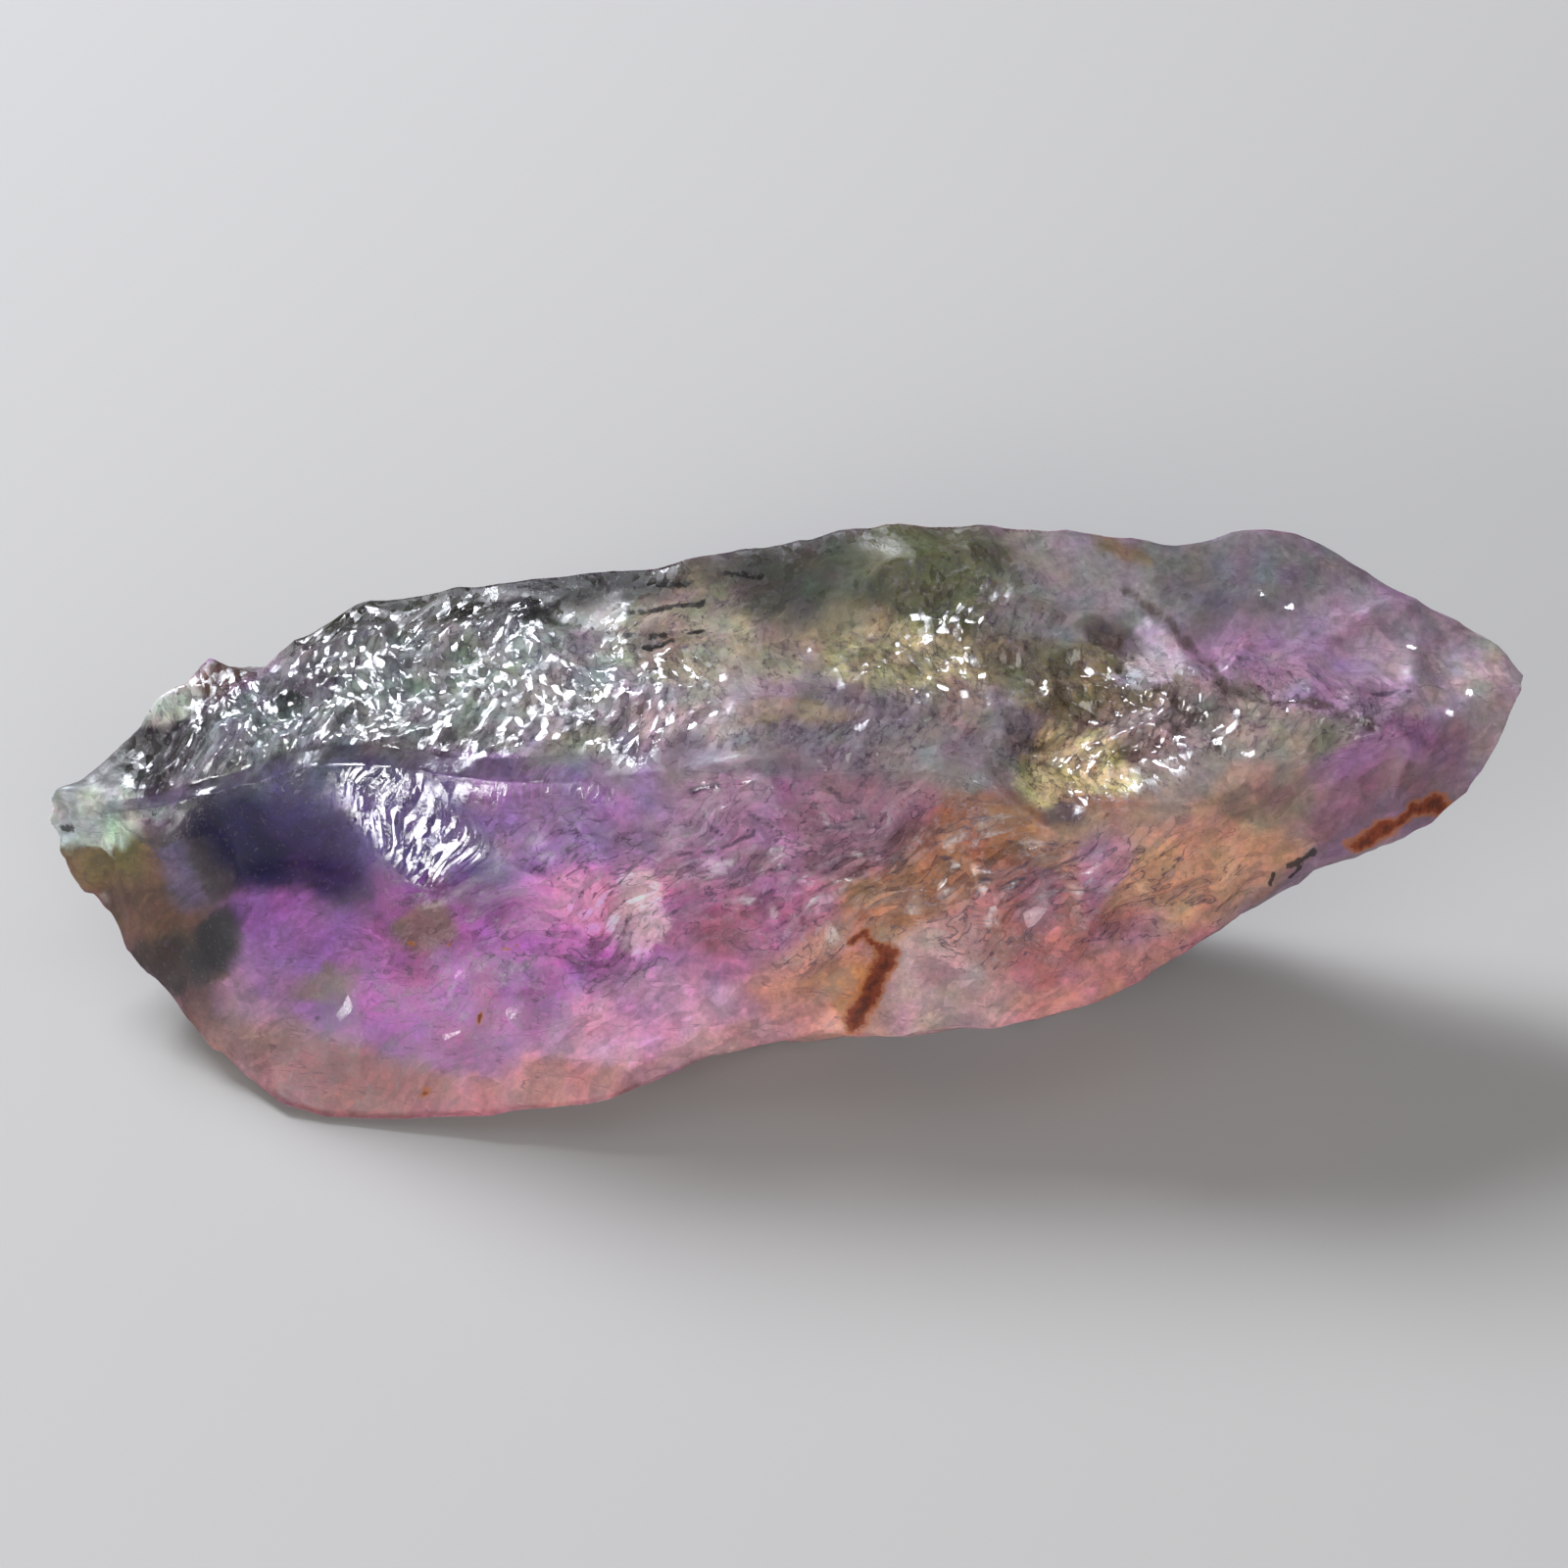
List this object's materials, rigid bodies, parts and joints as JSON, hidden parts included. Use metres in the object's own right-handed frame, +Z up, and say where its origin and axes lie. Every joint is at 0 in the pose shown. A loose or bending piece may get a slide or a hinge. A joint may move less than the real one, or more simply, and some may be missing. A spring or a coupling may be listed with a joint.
{
  "type": "rough ametrine",
  "caption": "Long angular piece of rough see-through quartz, purple with brown-yellow patches, lying on a small flat fracture face.",
  "frame": {"origin": "under the middle of the stone's box, on the surface that it rests on", "axes": "+X along the stone from its low knobbed end to its raised blunt end, +Y toward its back, +Z up"},
  "size_m": [0.0523, 0.0155, 0.0157],
  "materials": {
    "ametrine": "broken quartz, part glossy and part frosted"
  },
  "bodies": {
    "root": {"ametrine": "ametrine"}
  },
  "joints": []
}
